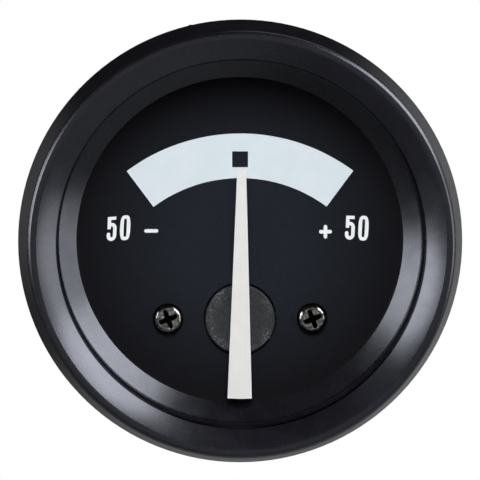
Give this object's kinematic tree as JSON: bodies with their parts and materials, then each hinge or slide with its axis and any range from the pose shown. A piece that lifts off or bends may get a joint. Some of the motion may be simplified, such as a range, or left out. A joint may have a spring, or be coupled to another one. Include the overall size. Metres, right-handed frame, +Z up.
{
  "type": "panel ammeter",
  "caption": "Round panel ammeter with a zero-centre scale, folded white pointer, crimped black bezel, stud terminals and a U-shaped clamp behind the panel.",
  "frame": {"origin": "middle of the plane where the bezel's crimped rear meets the panel", "axes": "+Y runs back through the panel to the terminals, so the dial faces -Y; +Z is up and +X is to the dial's right"},
  "size_m": [0.06, 0.0552, 0.06],
  "materials": {
    "bezel_paint": "satin black enamel",
    "ring_paint": "satin black enamel",
    "case_paint": "semi-matt black enamel",
    "glass": "clear and polished",
    "gasket_rubber": "matt",
    "dial_black": "matt black lacquer on sheet",
    "print_white": "bluish white ink",
    "black_screw": "glossy black oxide",
    "moulding": "granular moulded resin",
    "brass": "turned",
    "zinc_steel": "zinc plated",
    "spring_steel": "plain",
    "soft_iron": "plain pressed iron",
    "magnet_iron": "sintered",
    "fibre": "pressed fibre board",
    "insulator": "moulded",
    "pointer_white": "matt white lacquer on sheet"
  },
  "bodies": {
    "case": {"bezel": "bezel_paint", "lens": "glass", "lens_gasket": "gasket_rubber", "shading_ring": "ring_paint", "case_can": "case_paint", "clamp_studs": "zinc_steel", "dial_plate": "dial_black", "scale_band": "print_white", "dial_screws": "black_screw", "movement_frame": "moulding", "front_bearing": "brass", "rear_bearing": "brass", "frame_screws": "zinc_steel", "conductor_bar": "brass", "magnet": "magnet_iron", "magnet_clip": "brass", "terminal_posts": "brass", "inner_insulator": "fibre", "terminal_insulators": "insulator", "terminal_washers": "zinc_steel", "terminal_lock_nuts": "brass", "spring_washers": "spring_steel", "terminal_nuts": "brass"},
    "needle": {"pointer": "pointer_white", "pointer_hub": "brass", "arbor": "spring_steel", "armature": "soft_iron"},
    "clamp": {"clamp_bracket": "zinc_steel", "clamp_washers": "spring_steel"},
    "upper_nut": {"upper_thumb_nut": "brass"},
    "lower_nut": {"lower_thumb_nut": "brass"}
  },
  "joints": [
    {"name": "pointer_swing", "type": "hinge", "parent": "case", "child": "needle", "pos_m": [0, 0, -0.0107], "axis": [0, 1, 0], "range_deg": [-40, 40], "stiffness_Nm_per_rad": 0.0001},
    {"name": "clamp_slide", "type": "slide", "parent": "case", "child": "clamp", "axis": [0, 1, 0], "range_m": [-0.0042, 0.0042]},
    {"name": "upper_nut_turn", "type": "hinge", "parent": "clamp", "child": "upper_nut", "pos_m": [0, 0.04, 0.0155], "axis": [0, 1, 0], "range_deg": [-2160, 2160]},
    {"name": "lower_nut_turn", "type": "hinge", "parent": "clamp", "child": "lower_nut", "pos_m": [0, 0.04, -0.0155], "axis": [0, 1, 0], "range_deg": [-2160, 2160]}
  ],
  "couplings": [
    {"joint": "upper_nut_turn", "follows": "clamp_slide", "rad_per_m": 8976},
    {"joint": "lower_nut_turn", "follows": "clamp_slide", "rad_per_m": 8976}
  ]
}
